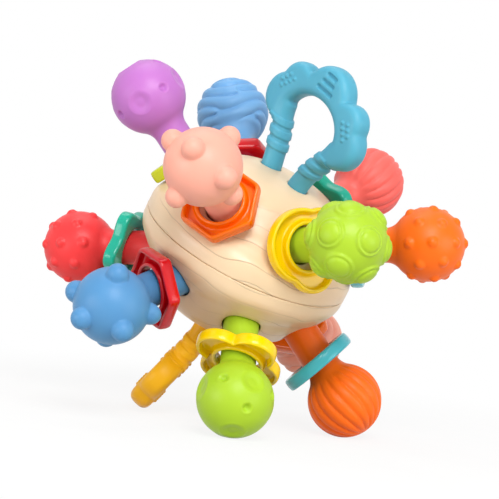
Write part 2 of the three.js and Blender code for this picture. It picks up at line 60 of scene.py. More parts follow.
def framed(xAxis, zAxis, origin):
    x, z = Vector(xAxis).normalized(), Vector(zAxis).normalized()
    return Matrix.Translation(origin) @ Matrix((x, z.cross(x), z)).transposed().to_4x4()


# the pole, the middle of the body and every stem's frame come from the joints
pole = Vector(joints["rattle_beads_slide"]["axis"]).normalized()
legPivots = [Vector(joints[n]["pos_m"]) for n in ("blue_cloud_sway", "yellow_cloud_sway")]
bodyCentre = (legPivots[0] + legPivots[1]) / 2
firstStem = Vector(joints["upper_cyan_round_slide"]["axis"])
bodyFrame = framed(firstStem.cross(pole).cross(pole) * -1, pole, bodyCentre)


# colours and finishes


def paint(red, green, blue):
    def linear(c):
        c /= 255
        return c / 12.92 if c < 0.04045 else ((c + 0.055) / 1.055) ** 2.4
    return (linear(red), linear(green), linear(blue), 1.0)


def shade(colour, amount):
    return tuple(min(c * amount, 1.0) for c in colour[:3]) + (1.0,)


def newFinish(name):
    material = bpy.data.materials.new(name)
    material.use_nodes = True
    tree = material.node_tree
    return material, tree, tree.nodes["Principled BSDF"]


def filled(tree, node, values):
    for name, value in values.items():
        if isinstance(value, bpy.types.NodeSocket):
            tree.links.new(value, node.inputs[name])
        else:
            node.inputs[name].default_value = value
    return node


def added(tree, kind, values, **settings):
    node = tree.nodes.new("ShaderNode" + kind)
    for name, value in settings.items():
        setattr(node, name, value)
    return filled(tree, node, values)


def grainOf(tree, scale, detail=2.0):
    where = added(tree, "TexCoord", {}).outputs["Object"]
    return added(tree, "TexNoise", {"Vector": where, "Scale": scale, "Detail": detail}).outputs["Fac"]


def ramped(tree, value, low, high, start=0.35, end=0.65):
    ramp = added(tree, "ValToRGB", {"Fac": value})
    for element, position, colour in zip(ramp.color_ramp.elements, (start, end), (low, high)):
        element.position = position
        element.color = colour
    return ramp.outputs["Color"]


def ranged(tree, value, low, high, start=0.3, end=0.7, kind="LINEAR"):
    # most of a noise lies between 0.3 and 0.7
    values = {"Value": value, "From Min": start, "From Max": end, "To Min": low, "To Max": high}
    return added(tree, "MapRange", values, interpolation_type=kind).outputs["Result"]


def bumped(tree, height, distance, strength, under=None):
    bump = added(tree, "Bump", {"Height": height, "Distance": distance, "Strength": strength})
    if under is not None:
        tree.links.new(under, bump.inputs["Normal"])
    return bump.outputs["Normal"]


def reckoned(tree, operation, first, second):
    return added(tree, "Math", {0: first, 1: second}, operation=operation).outputs[0]


def blended(tree, factor, first, second):
    return added(tree, "Mix", {"Factor": factor, "A": first, "B": second}, data_type="RGBA").outputs["Result"]


def softRubber(name, colour):
    material, tree, shader = newFinish(name)
    fine = bumped(tree, grainOf(tree, 2600.0, 1.0), 0.00004, 0.5)
    filled(tree, shader, {
        "Base Color": ramped(tree, grainOf(tree, 26.0, 3.0), shade(colour, 0.94), shade(colour, 1.03)),
        "Roughness": ranged(tree, grainOf(tree, 60.0), 0.38, 0.48),
        "Normal": bumped(tree, grainOf(tree, 160.0), 0.00012, 0.35, fine),
        "Subsurface Weight": 0.08, "Subsurface Radius": (0.004, 0.003, 0.002), "Subsurface Scale": 0.6,
        "Specular IOR Level": 0.34,
    })
    return material


def hardGloss(name, colour):
    material, tree, shader = newFinish(name)
    filled(tree, shader, {
        "Base Color": ramped(tree, grainOf(tree, 34.0, 3.0), shade(colour, 0.93), shade(colour, 1.02)),
        "Roughness": ranged(tree, grainOf(tree, 210.0, 4.0), 0.15, 0.25),
        "Normal": bumped(tree, grainOf(tree, 120.0), 0.00016, 0.3),
        "Coat Weight": 0.12, "Coat Roughness": 0.08, "Specular IOR Level": 0.32,
    })
    return material


soft = {
    "orange": softRubber("softOrange", paint(255, 108, 0)),
    "green": softRubber("softGreen", paint(168, 204, 40)),
    "pink": softRubber("softPink", paint(246, 172, 152)),
    "purple": softRubber("softPurple", paint(186, 114, 192)),
    "blue": softRubber("softBlue", paint(110, 164, 212)),
    "coral": softRubber("softCoral", paint(253, 106, 97)),
    "red": softRubber("softRed", paint(242, 58, 60)),
    "sky_blue": softRubber("softSkyBlue", paint(82, 142, 192)),
    "cyan": softRubber("softCyan", paint(80, 164, 190)),
    "amber": softRubber("softAmber", paint(255, 188, 12)),
}
gloss = {
    "cyan": hardGloss("ringCyan", paint(72, 190, 206)),
    "yellow": hardGloss("ringYellow", paint(250, 208, 0)),
    "orange": hardGloss("ringOrange", paint(255, 114, 0)),
    "lime": hardGloss("ringLime", paint(198, 206, 14)),
    "red": hardGloss("ringRed", paint(204, 2, 18)),
    "teal": hardGloss("ringTeal", paint(24, 176, 148)),
}
print("finishes:", len(soft), "soft and", len(gloss), "gloss")


# making a piece out of a bmesh


def meshOf(bm, name, place):
    bmesh.ops.transform(bm, matrix=place @ toMetres, verts=bm.verts)
    for face in bm.faces:
        face.smooth = True
    mesh = bpy.data.meshes.new(name)
    bm.to_mesh(mesh)
    bm.free()
    made = bpy.data.objects.new(name, mesh)
    scene.collection.objects.link(made)
    return made


def baked(made):
    ready = made.evaluated_get(bpy.context.evaluated_depsgraph_get())
    mesh = bpy.data.meshes.new_from_object(ready)
    made.modifiers.clear()
    made.data = mesh
    for polygon in mesh.polygons:
        polygon.use_smooth = True
    return made


def turned(points, steps):
    bm = bmesh.new()
    verts = [bm.verts.new((r, 0, z)) for r, z in points]
    for pair in zip(verts, verts[1:]):
        bm.edges.new(pair)
    outline = meshOf(bm, "outline", Matrix.Identity(4))
    screw = outline.modifiers.new("turn", "SCREW")
    screw.steps = screw.render_steps = steps
    screw.use_merge_vertices = True
    screw.merge_threshold = 1e-6
    return taken(baked(outline))


def taken(made):
    # back into a bmesh in mm
    bm = bmesh.new()
    bm.from_mesh(made.data)
    bpy.data.objects.remove(made)
    bmesh.ops.scale(bm, vec=(1000, 1000, 1000), verts=bm.verts)
    bmesh.ops.recalc_face_normals(bm, faces=bm.faces)
    return bm


def mounted(made, body, node, material):
    made.data.materials.clear()
    made.data.materials.append(material)
    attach(made, body)
    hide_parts(node)
    return made


# soft arms: ball, stem and root flange turned in one, then the relief of each ball

arm = {
    "ballDistance": 66.6, "ballRadius": 13.65, "stemRadius": 6.4, "neckFillet": 6.0,
    "flangeRadius": 8.6, "flangeThickness": 2.4, "flangeEdge": 0.3, "flangePlay": 1.2,
    "steps": 168, "stemRows": 12, "ballRows": 110,
    "reliefFade": (-0.86, -0.62),  # height on the ball, from -1 to 1, where the relief sets in
    "bumpRadius": 4.0, "bumpBlend": 0.9,
    "discRadius": 5.3, "discRise": 0.8, "discEdge": (-0.7, 0.5),
    "domeRadius": 3.9, "domeRise": 0.95, "domeFull": 0.7,
    "grooveDepth": 0.3, "grooveOut": 0.15, "grooveWidth": 0.45,
    # hollows by radius, depth, share that is flat, and width of the lip
    "dish": (4.4, 1.0, 0.35, 0.5), "dent": (1.9, 1.2, 0.25, 0.4), "lipRise": 0.12, "lipOut": 0.3,
    "ridgeCount": 18, "ridgeDepth": 0.85, "ridgeSwirl": 0.22, "ridgeSharp": 1.6, "ridgeFade": (0.12, 0.6),
    "studRadius": 2.5, "studRise": 1.05, "studFlat": 0.5,
    "ropePitch": 5.4, "ropeDepth": 1.5, "ropeRound": 0.6, "ropeMiddle": 0.75,
    "ropeWave": 3.2, "ropeWaveFade": (2, 12),
}


def aimed(latitude, azimuth):
    a, b = math.radians(latitude), math.radians(azimuth)
    return Vector((math.cos(a) * math.cos(b), math.cos(a) * math.sin(b), math.sin(a)))


fifths = [72 * i for i in range(5)]
sixths = [30 + 60 * i for i in range(6)]
# directions over a ball: how far above its girdle, and the turn round its stem
bumpSpots = [(90, 0), (25, 90), (25, 270), (0, 0), (0, 180), (-41, 90), (-41, 270)]
discSpots = [(90, 0)] + [(28, a) for a in sixths] + [(-25, a) for a in sixths]
dishSpots = [(90, 0), (0, 0), (0, 90), (0, 180), (0, 270)]
dentSpots = [(0, 45), (0, 135), (0, 225), (0, 315), (42, 0), (42, 180)]
studRows = [(52.6, 36), (26.6, 0), (10.8, 36), (-10.8, 0), (-26.6, 36)]  # five studs in each row
studSpots = [(90, 0)] + [(latitude, a + shift) for latitude, shift in studRows for a in fifths]
# rope ends have their sense of winding first
ropeEnds = [(1, 34, 20), (-1, 30, 110), (1, 34, 200), (-1, 30, 290)]
ropeEnds += [(-1, 2, 65), (1, -4, 155), (-1, 2, 245), (1, -4, 335)]


def finder(spots):
    tree = kdtree.KDTree(len(spots))
    for i, spot in enumerate(spots):
        tree.insert(aimed(*spot), i)
    tree.balance()
    return lambda d: 2 * math.asin(min(tree.find(d)[2] / 2, 1.0))  # angle to the nearest spot


def bumpRelief():
    angle = finder(bumpSpots)
    ball, radius = arm["ballRadius"], arm["bumpRadius"]

    def rise(d):
        a = angle(d)
        side, ahead = ball * math.sin(a), ball * math.cos(a)
        top = -radius
        if ahead > 0 and side < radius:
            top = ahead + math.sqrt(radius ** 2 - side ** 2) - ball
        return softMax(top, 0.0, arm["bumpBlend"])
    return rise


def discRelief():
    angle = finder(discSpots)
    low, high = (arm["discRadius"] + step for step in arm["discEdge"])
    grooveAt = arm["domeRadius"] + arm["grooveOut"]

    def rise(d):
        out = angle(d) * arm["ballRadius"]
        disc = arm["discRise"] * (1 - smooth(low, high, out))
        inner = max(1 - (out / arm["domeRadius"]) ** 2, 0.0)
        groove = arm["grooveDepth"] * math.exp(-((out - grooveAt) / arm["grooveWidth"]) ** 2)
        return disc + arm["domeRise"] * inner ** arm["domeFull"] - groove
    return rise


def hollow(out, radius, depth, flat, lipWidth):
    lip = arm["lipRise"] * math.exp(-((out - radius - arm["lipOut"]) / lipWidth) ** 2)
    return lip - depth * (1 - smooth(radius * flat, radius, out))


def dishRelief():
    dish, dent = finder(dishSpots), finder(dentSpots)

    def rise(d):
        ball = arm["ballRadius"]
        return hollow(dish(d) * ball, *arm["dish"]) + hollow(dent(d) * ball, *arm["dent"])
    return rise


def ridgeRelief():
    def rise(d):
        girdle = math.hypot(d.x, d.y)
        around = math.atan2(d.y, d.x) + arm["ridgeSwirl"] * d.z
        wave = abs(math.cos(arm["ridgeCount"] / 2 * around))
        return -arm["ridgeDepth"] * smooth(*arm["ridgeFade"], girdle) * (1 - wave) ** arm["ridgeSharp"]
    return rise


def studRelief():
    angle = finder(studSpots)

    def rise(d):
        out = angle(d) * arm["ballRadius"]
        return arm["studRise"] * (1 - smooth(arm["studFlat"], arm["studRadius"], out))
    return rise


def ropeRelief():
    # each spot ends one rope and its neighbours close in round the end
    ends = []
    for sign, latitude, azimuth in ropeEnds:
        at = aimed(latitude, azimuth)
        side = at.orthogonal().normalized()
        ends.append((sign, side, at.cross(side)))

    def rise(d):
        tip = math.acos(max(min(d.z, 1.0), -1.0)) * arm["ballRadius"]
        wave = arm["ropeWave"] * smooth(*arm["ropeWaveFade"], tip)
        along = tip + wave * math.sin(2 * math.atan2(d.y, d.x))
        phase = math.tau * along / arm["ropePitch"]
        for sign, side, rest in ends:
            phase += sign * math.atan2(d.dot(rest), d.dot(side))
        return arm["ropeDepth"] * (abs(math.sin(phase / 2)) ** arm["ropeRound"] - arm["ropeMiddle"])
    return rise


def armProfile(flangeLow):
    ball, fillet = arm["ballRadius"], arm["neckFillet"]
    filletR = arm["stemRadius"] + fillet
    drop = math.sqrt((ball + fillet) ** 2 - filletR ** 2)
    lift = math.atan2(drop, filletR)
    flangeTop = flangeLow + arm["flangeThickness"]
    wide, edge, rows = arm["flangeRadius"], arm["flangeEdge"], arm["stemRows"]
    points = [(0, flangeLow), (wide - edge, flangeLow), (wide, flangeLow + edge)]
    points += [(wide, flangeTop - edge), (wide - edge, flangeTop), (arm["stemRadius"], flangeTop)]
    neck = arm["ballDistance"] - drop
    points += [(arm["stemRadius"], flangeTop + (neck - flangeTop) * i / rows) for i in range(1, rows + 1)]
    for i in range(1, rows + 1):
        a = lift * i / rows
        points.append((filletR - fillet * math.cos(a), neck + fillet * math.sin(a)))
    for i in range(1, arm["ballRows"]):
        a = -lift + (lift + math.pi / 2) * i / arm["ballRows"]
        points.append((ball * math.cos(a), arm["ballDistance"] + ball * math.sin(a)))
    return points + [(0.0, arm["ballDistance"] + ball)]


flangeSeats = {}  # how far out the room for each flange reaches, by arm


def stemPlace(armName, ringName):
    place = framed(joints[armName + "_flex"]["axis"], joints[ringName + "_slide"]["axis"], bodyCentre)
    return place, place.to_3x3() @ Vector((0, 0, 1))


def reachOf(node, axis):
    along = [(v.co - bodyCentre).dot(axis) for v in frame["nodes"][node].data.vertices]
    return min(along), max(along)


def makeArm(name, relief, material, ringName):
    node = name + "_arm"
    place, axis = stemPlace(name, ringName)
    flangeLow = reachOf(node, axis)[0] * 1000
    flangeSeats[name] = flangeLow + arm["flangeThickness"] + arm["flangePlay"]
    bm = turned(armProfile(flangeLow), arm["steps"])
    middle = Vector((0, 0, arm["ballDistance"]))
    rise = relief()
    for vert in bm.verts:
        out = vert.co - middle
        if vert.co.z > arm["ballDistance"] - arm["ballRadius"]:
            d = out.normalized()
            vert.co += d * rise(d) * smooth(*arm["reliefFade"], d.z)
    made = meshOf(bm, name + "_ball", place)
    return mounted(made, node, node, material)


armPlan = [  # name, relief, colour, ring on its stem
    ("orange_stud", studRelief, "orange", "upper_cyan_round"),
    ("green_target", discRelief, "green", "upper_yellow_clover"),
    ("pink_bump", bumpRelief, "pink", "upper_orange_hexagon"),
    ("purple_dimple", dishRelief, "purple", "upper_lime_square"),
    ("blue_wave", ropeRelief, "blue", "upper_red_hexagon"),
    ("coral_ridge", ridgeRelief, "coral", "upper_teal_star"),
    ("red_stud", studRelief, "red", "lower_teal_star"),
    ("blue_bump", bumpRelief, "sky_blue", "lower_red_hexagon"),
    ("green_dimple", dishRelief, "green", "lower_yellow_clover"),
    ("orange_ridge", ridgeRelief, "orange", "lower_cyan_round"),
    ("pink_wave", ropeRelief, "pink", "lower_orange_hexagon"),
    ("purple_target", discRelief, "purple", "lower_lime_square"),
]
for name, relief, colour, ringName in armPlan:
    makeArm(name, relief, soft[colour], ringName)
print("arms:", len(armPlan))


# hard rings: a channel section spun round the stem, then drawn out to each rim's outline

ring = {
    "hole": 7.9, "sag": 1.0, "tiltLimit": 18.0, "steps": 144, "guide": 15.0, "rimWidth": 3.0,
    "hexagon": 15.3, "hexagonSharp": 26, "round": 14.4, "square": 15.0, "squareSharp": 11,
    "star": 16.0, "starDip": 3.4, "starPoints": 5, "lobeBlend": 0.8,
    # lobes by distance, radius and angle
    "clover": [(1.8, 13.6, 90), (8.0, 8.6, 210), (8.0, 8.6, 330)],
    "fourLeaf": [(8.5, 8.5, 45), (8.5, 8.5, 135), (8.5, 8.5, 225), (8.5, 8.5, 315)],
    # how far in from the outer rim, and height
    "outer": [(1.0, -2.4), (0.35, -2.2), (0.02, -1.6), (-0.08, 0.0), (0.02, 1.6), (0.3, 2.18), (0.85, 2.4),
              (1.4, 2.18), (1.68, 1.6), (1.75, 0.3), (2.05, -0.28), (2.7, -0.4)],
    # how far out from the hole, and height
    "inner": [(2.7, -0.4), (2.05, -0.28), (1.75, 0.3), (1.68, 1.6), (1.4, 2.18), (0.85, 2.4), (0.3, 2.18),
              (0.02, 1.6), (0.0, -1.6), (0.3, -2.18), (1.0, -2.4)],
}


def polygonRim(sides, corner, sharp):
    flat = corner * math.cos(math.pi / sides)

    def reach(a):
        total = 0.0
        for k in range(sides):
            lean = math.cos(a - math.tau * (k + 0.5) / sides)
            total += max(lean / flat, 0.0) ** sharp
        return total ** (-1 / sharp)
    return reach


def lobedRim(lobes):
    def reach(a):
        far = 0.0
        for distance, radius, turn in lobes:
            d = a - math.radians(turn)
            under = radius ** 2 - (distance * math.sin(d)) ** 2
            if under > 0:
                far = softMax(far, distance * math.cos(d) + math.sqrt(under), ring["lobeBlend"])
        return far
    return reach


ringRims = {
    "round": lambda a: ring["round"],
    "hexagon": polygonRim(6, ring["hexagon"], ring["hexagonSharp"]),
    "square": polygonRim(4, ring["square"], ring["squareSharp"]),
    "star": lambda a: ring["star"] - ring["starDip"] * (1 - math.cos(ring["starPoints"] * a)) / 2,
    "clover": lobedRim(ring["clover"]),
    "fourLeaf": lobedRim(ring["fourLeaf"]),
}


def makeRing(name, shape, turn, tilt, armName, material):
    node = name + "_ring"
    place, axis = stemPlace(armName, name)
    tipped = Matrix.Rotation(math.radians(tilt[0]), 4, "X") @ Matrix.Rotation(math.radians(tilt[1]), 4, "Y")
    # a ring hangs down on its stem, and less so the more it is tilted
    sag = ring["sag"] * (1 - math.acos(tipped[2][2]) / math.radians(ring["tiltLimit"]))
    hang = (Vector((0, 0, -1)) + axis * axis.z).normalized() * sag / 1000
    place = Matrix.Translation(axis * sum(reachOf(node, axis)) / 2 + hang) @ place @ tipped
    place = place @ Matrix.Rotation(math.radians(turn), 4, "Z")
    outer = [(ring["guide"] - d, z) for d, z in ring["outer"]]
    inner = [(ring["hole"] + d, z) for d, z in ring["inner"]]
    bm = turned(outer + inner + outer[:1], ring["steps"])
    for vert in bm.verts:
        reach = math.hypot(vert.co.x, vert.co.y)
        if reach > ring["guide"] - ring["rimWidth"]:
            a = math.atan2(vert.co.y, vert.co.x)
            share = (ringRims[shape](a) + reach - ring["guide"]) / reach
            vert.co.x *= share
            vert.co.y *= share
    made = meshOf(bm, name + "_band", place)
    crown = made.modifiers.new("crown", "SUBSURF")
    crown.levels = crown.render_levels = 1
    return mounted(made, node, node, material)


ringPlan = [  # name, shape, turn, tilt about x and y, arm, colour
    ("upper_cyan_round", "round", 0, (0, 0), "orange_stud", "cyan"),
    ("upper_yellow_clover", "clover", 180, (0, 0), "green_target", "yellow"),
    ("upper_orange_hexagon", "hexagon", 30, (0, 0), "pink_bump", "orange"),
    ("upper_lime_square", "square", 20, (0, 0), "purple_dimple", "lime"),
    ("upper_red_hexagon", "hexagon", 0, (0, 0), "blue_wave", "red"),
    ("upper_teal_star", "star", 0, (0, 0), "coral_ridge", "teal"),
    ("lower_teal_star", "star", 10, (5, -15), "red_stud", "teal"),
    ("lower_red_hexagon", "hexagon", -12, (14, 0), "blue_bump", "red"),
    ("lower_yellow_clover", "fourLeaf", 34, (8, 7), "green_dimple", "yellow"),
    ("lower_cyan_round", "round", 0, (-3, -7), "orange_ridge", "cyan"),
    ("lower_orange_hexagon", "hexagon", 0, (0, 0), "pink_wave", "orange"),
    ("lower_lime_square", "square", 0, (0, 0), "purple_target", "lime"),
]
for name, shape, turn, tilt, armName, colour in ringPlan:
    makeRing(name, shape, turn, tilt, armName, gloss[colour])
print("rings:", len(ringPlan))


# body: two turned half shells with grain relief, holes cut for stems and legs

shell = {
    "rimRadius": 40.5, "poleHeight": 31.0, "wall": 2.4, "seam": 0.08, "seamRound": 0.4, "footWidth": 0.6,
    # shares of the rim radius and the pole height, from rim to pole
    "outline": [(1, 0), (0.995, 0.13), (0.963, 0.255), (0.895, 0.355), (0.822, 0.437), (0.775, 0.535),
                (0.73, 0.645), (0.655, 0.78), (0.54, 0.88), (0.38, 0.955), (0.2, 0.99), (0, 1)],
    "steps": 320, "rows": 9, "insideEvery": 3,
    "stemHole": 7.03, "flangeBore": 9.2, "boreLow": 20.0, "boreHigh": 65.0, "boreSteps": 64,
    "legHole": 4.35, "legHoleH": 30, "legHoleDepth": 24, "legHoleSteps": 48, "sliver": 0.02,
    "outward": 0.3, "calm": (1.2, 9.0),  # which faces have relief, and where it fades towards the seam
    "waveHeight": 0.3, "wavePitch": 13.0, "hoodRise": 0.35, "hoodRadius": 8.0, "hoodWidth": 2.6,
    # the grain wanders by so many mm over such a length, and lifts over a stem
    "wander": (1.9, 19), "ripple": (0.9, 8), "rippleShift": (7, 3, 1), "stemLift": 5.0, "stemSpread": 9.5,
    # grain lines by pitch and width, and how dark the painted shade in their grooves is
    "linePitch": 6.4, "lineWidth": 0.26, "groovePaintedShade": 0.72,
}


def outlineAt(points, t):  # a smooth curve through the points
    t = min(max(t, 0.0), len(points) - 1 - 1e-6)
    i = int(t)
    f = t - i
    p = [Vector(points[min(max(i + k, 0), len(points) - 1)]) for k in (-1, 0, 1, 2)]
    v0, v1 = (p[2] - p[0]) / 2, (p[3] - p[1]) / 2
    return ((2 * p[1] - 2 * p[2] + v0 + v1) * f ** 3 + (-3 * p[1] + 3 * p[2] - 2 * v0 - v1) * f ** 2
            + v0 * f + p[1])


def shellProfile():
    points = [(r * shell["rimRadius"], h * shell["poleHeight"]) for r, h in shell["outline"]]
    count = (len(points) - 1) * shell["rows"]
    outside = [outlineAt(points, i / shell["rows"]) for i in range(count + 1)]
    inside = []
    for i in range(0, count + 1, shell["insideEvery"]):
        ahead, behind = outside[min(i + 1, count)], outside[max(i - 1, 0)]
        inward = (ahead - behind).normalized() * shell["wall"]
        inside.append((max(outside[i].x - inward.y, 0.0), outside[i].y + inward.x))
    inside[-1] = (0.0, inside[-1][1])
    lip, low = shell["seamRound"], shell["seam"]
    # the rim is rounded at the seam
    edge = [(outside[0].x - lip * (1 - math.sin(a)), low + lip * (1 - math.cos(a)))
            for a in (0.0, 0.5, 1.0, math.pi / 2)]
    wallFoot = [(inside[0][0], low), (inside[0][0] + shell["footWidth"], low)]
    outer = [(max(p.x, 0.0), p.y) for p in outside if p.y > low + lip]
    outer[-1] = (0.0, outer[-1][1])
    return list(reversed(inside[1:])) + wallFoot + edge + outer


def stemsOf(side):
    found = {}
    for name, _, _, ringName in armPlan:
        axis = Vector(joints[ringName + "_slide"]["axis"])
        if axis.dot(pole) * side > 0:
            found[name] = bodyFrame.to_3x3().inverted() @ axis
    return found


def offAxis(p, axis):
    return (p - axis * p.dot(axis)).length


def grainField(p, stems):
    # lines run round the body and bend over the stems
    (wander, far), (ripple, near) = shell["wander"], shell["ripple"]
    field = abs(p.z) + wander * noise.noise(p / far)
    field += ripple * noise.noise(p / near + Vector(shell["rippleShift"]))
    for axis in stems:
        field += shell["stemLift"] * math.exp(-(offAxis(p, axis) / shell["stemSpread"]) ** 2)
    return field


def shellCutter(name, stems, legPlace):
    cuts = bmesh.new()
    for stem, axis in stems.items():
        # a stem's hole, wider inside for its flange
        low, seat, high = shell["boreLow"], flangeSeats[stem], shell["boreHigh"]
        wide, narrow = shell["flangeBore"], shell["stemHole"]
        outline = [(0, low), (wide, low), (wide, seat), (narrow, seat), (narrow, high), (0, high)]
        tool = turned(outline, shell["boreSteps"])
        turn = Vector((0, 0, 1)).rotation_difference(axis).to_matrix().to_4x4()
        bmesh.ops.transform(tool, matrix=turn, verts=tool.verts)
        bmesh.ops.recalc_face_normals(tool, faces=tool.faces)
        form = bpy.data.meshes.new("tool")
        tool.to_mesh(form)
        tool.free()
        cuts.from_mesh(form)
        bpy.data.meshes.remove(form)
    for w in (-handle["legRoot"], handle["legRoot"]):
        place = bodyFrame.inverted() @ legPlace @ Matrix.Translation(Vector((w, 0, shell["legHoleH"])) / 1000)
        place.translation *= 1000
        bmesh.ops.create_cone(cuts, cap_ends=True, segments=shell["legHoleSteps"], radius1=shell["legHole"],
                              radius2=shell["legHole"], depth=shell["legHoleDepth"], matrix=place)
    return meshOf(cuts, name + "_cutter", bodyFrame)


def withoutSlivers(mesh):
    # the cuts leave tiny edges and faces
    bm = bmesh.new()
    bm.from_mesh(mesh)
    bmesh.ops.remove_doubles(bm, verts=bm.verts, dist=shell["sliver"] / 1000)
    bmesh.ops.triangulate(bm, faces=[face for face in bm.faces if len(face.verts) > 4])
    bmesh.ops.dissolve_degenerate(bm, dist=shell["sliver"] / 1000, edges=bm.edges)
    bm.to_mesh(mesh)
    bm.free()


def makeShell(name, side, legPlace, material):
    named = stemsOf(side)
    stems = list(named.values())
    flip = Matrix.Identity(4) if side > 0 else Matrix.Rotation(math.pi, 4, "X")
    bm = turned(shellProfile(), shell["steps"])
    bmesh.ops.transform(bm, matrix=flip, verts=bm.verts)
    bm.normal_update()
    for vert in bm.verts:
        p = vert.co.copy()
        if vert.normal.dot(p.normalized()) < shell["outward"] or abs(p.z) < shell["calm"][0]:
            continue
        calm = smooth(*shell["calm"], abs(p.z))
        wave = shell["waveHeight"] * math.sin(math.tau * grainField(p, stems) / shell["wavePitch"]) * calm
        ways = [(offAxis(p, axis) - shell["hoodRadius"]) / shell["hoodWidth"] for axis in stems]
        hood = sum(math.exp(-way ** 2) for way in ways)
        vert.co += vert.normal * (wave + shell["hoodRise"] * min(hood, 1.0) * calm)
    made = meshOf(bm, name + "_skin", bodyFrame)
    cutter = shellCutter(name, named, legPlace)
    holes = made.modifiers.new("holes", "BOOLEAN")
    holes.operation = "DIFFERENCE"
    holes.solver = "EXACT"
    holes.object = cutter
    baked(made)
    bpy.data.objects.remove(cutter)
    withoutSlivers(made.data)
    back = bodyFrame.inverted()
    lines = made.data.attributes.new("grain", "FLOAT", "POINT")
    for vert, value in zip(made.data.vertices, lines.data):
        value.value = grainField((back @ vert.co) * 1000, stems)
    return mounted(made, "body", name, material)


def creamShell():
    material, tree, shader = newFinish("creamShell")
    colour = paint(235, 207, 170)
    grain = added(tree, "Attribute", {}, attribute_name="grain").outputs["Fac"]
    # a thin engraved line each time the grain value passes a step, fading in and out; its groove is darkened
    # with painted shade
    phase = reckoned(tree, "PINGPONG", grain, shell["linePitch"] / 2)
    line = ranged(tree, phase, 0.0, 1.0, 0.0, shell["lineWidth"], "SMOOTHSTEP")
    plain = reckoned(tree, "MAXIMUM", line, ranged(tree, grainOf(tree, 42.0), 0.0, 1.0))
    tone = ramped(tree, grainOf(tree, 30.0, 4.0), shade(colour, 0.95), shade(colour, 1.03))
    fine = bumped(tree, grainOf(tree, 900.0), 0.00005, 0.25)
    filled(tree, shader, {
        # painted shade: the base colour is darker along the engraved lines
        "Base Color": blended(tree, plain, shade(colour, shell["groovePaintedShade"]), tone),
        "Roughness": ranged(tree, grainOf(tree, 180.0, 3.0), 0.3, 0.42),
        "Normal": bumped(tree, plain, 0.0004, 0.6, fine),
        "Coat Weight": 0.1, "Coat Roughness": 0.25,
        "Subsurface Weight": 0.05, "Subsurface Radius": (0.003, 0.002, 0.0015), "Subsurface Scale": 0.5,
    })
    return material


# cloud handles: a spun band drawn out to the cloud, two ribbed legs, run together by a remesh

handle = {
    "thickness": 9.0, "edgeRound": 3.2, "legRadius": 4.0, "legRoot": 8.0, "legTopW": 14.8, "legTopH": 49.4,
    "legFlange": 6.2, "legFlangeThickness": 2.0, "pivotH": 29.2, "legLow": 25.0, "legInset": 0.5,
    # a leg is upright so far above the pivot, leans by such a share half way and runs on into the cloud
    "legUpright": 2.4, "legLean": 0.38, "legMiddleUp": 1.0, "legRunOn": (1.2, 4.5),
    "legRows": 40, "legSteps": 32, "footSteps": 48,
    "archH": 52.2, "archW": 13.8, "archRise": 10.5, "guideIn": 12.0, "guideOut": 24.0,
    # lobes of the cloud from the middle of the arch: across, up and radius
    "lobes": [(17.3, 2.7, 8.8), (14.4, 10.2, 7.6), (0.0, 13.2, 11.0), (-14.4, 10.2, 7.6), (-17.3, 2.7, 8.8)],
    "first": -19.9, "last": 199.9, "cloudSteps": 150, "cornerRows": 5, "voxel": 0.36, "smoothings": 14,
    "ribRise": 0.6, "ribLength": 3.0, "ribs": [37.2, 41.2, 45.2], "ribEdge": 0.2, "ribOut": 1.2, "ribIn": 1.0,
    "faceDepth": 0.9, "faceLevel": 0.75,  # the marks are only on the flat faces
    # rows of dots by side and count, about a place across and up from the middle of the arch
    "dotRise": 0.65, "dotRadius": 0.8, "dotsAt": (17.6, 8.9), "dotsAlong": (-0.62, 0.78),
    "dotPitch": 2.15, "dotRowGap": 1.15, "dotRows": [(-1, 4), (1, 3)],
    # bars by height and half length
    "bars": [(14.8, 4.2), (17.7, 3.2), (20.6, 2.6)], "barDepth": 1.1, "barEnd": 0.6, "barEdge": (0.45, 0.95),
    "bendLow": 31.6, "bendLength": 12.0,
}


def cloudReach(a):
    d = Vector((math.cos(a), math.sin(a)))
    far = 0.0
    for w, h, radius in handle["lobes"]:
        c = Vector((w, h))
        middle = c.dot(d)
        under = radius ** 2 - c.length_squared + middle ** 2
        if under > 0:
            far = max(far, middle + math.sqrt(under))
    return far


def archReach(a):
    return 1 / math.hypot(math.cos(a) / handle["archW"], math.sin(a) / handle["archRise"])


def legPath():
    root, pivot, rows = handle["legRoot"], handle["pivotH"], handle["legRows"]
    topW, topH = handle["legTopW"], handle["legTopH"]
    middleW = root + handle["legLean"] * (topW - root)
    middleH = (pivot + topH) / 2 + handle["legMiddleUp"]
    onW, onH = handle["legRunOn"]
    points = [(root, handle["legLow"] + handle["legInset"]), (root, pivot + handle["legUpright"]),
              (middleW, middleH), (topW, topH), (topW + onW, topH + onH)]
    return [outlineAt(points, (len(points) - 1) * i / rows) for i in range(rows + 1)]


def addLeg(bm, side):
    path = legPath()
    made = bmesh.ops.create_circle(bm, cap_ends=True, segments=handle["legSteps"], radius=handle["legRadius"])
    face = next(f for v in made["verts"] for f in v.link_faces)
    bmesh.ops.translate(bm, verts=made["verts"], vec=(side * path[0].x, 0, path[0].y))
    for a, b in zip(path, path[1:]):
        grown = bmesh.ops.extrude_face_region(bm, geom=[face])
        verts = [g for g in grown["geom"] if isinstance(g, bmesh.types.BMVert)]
        face = next(g for g in grown["geom"] if isinstance(g, bmesh.types.BMFace))
        bmesh.ops.translate(bm, verts=verts, vec=(side * (b.x - a.x), 0, b.y - a.y))
    thick, wide = handle["legFlangeThickness"], handle["legFlange"]
    foot = Matrix.Translation((side * handle["legRoot"], 0, handle["legLow"] + thick / 2))
    bmesh.ops.create_cone(bm, cap_ends=True, segments=handle["footSteps"], radius1=wide, radius2=wide,
                          depth=thick, matrix=foot)


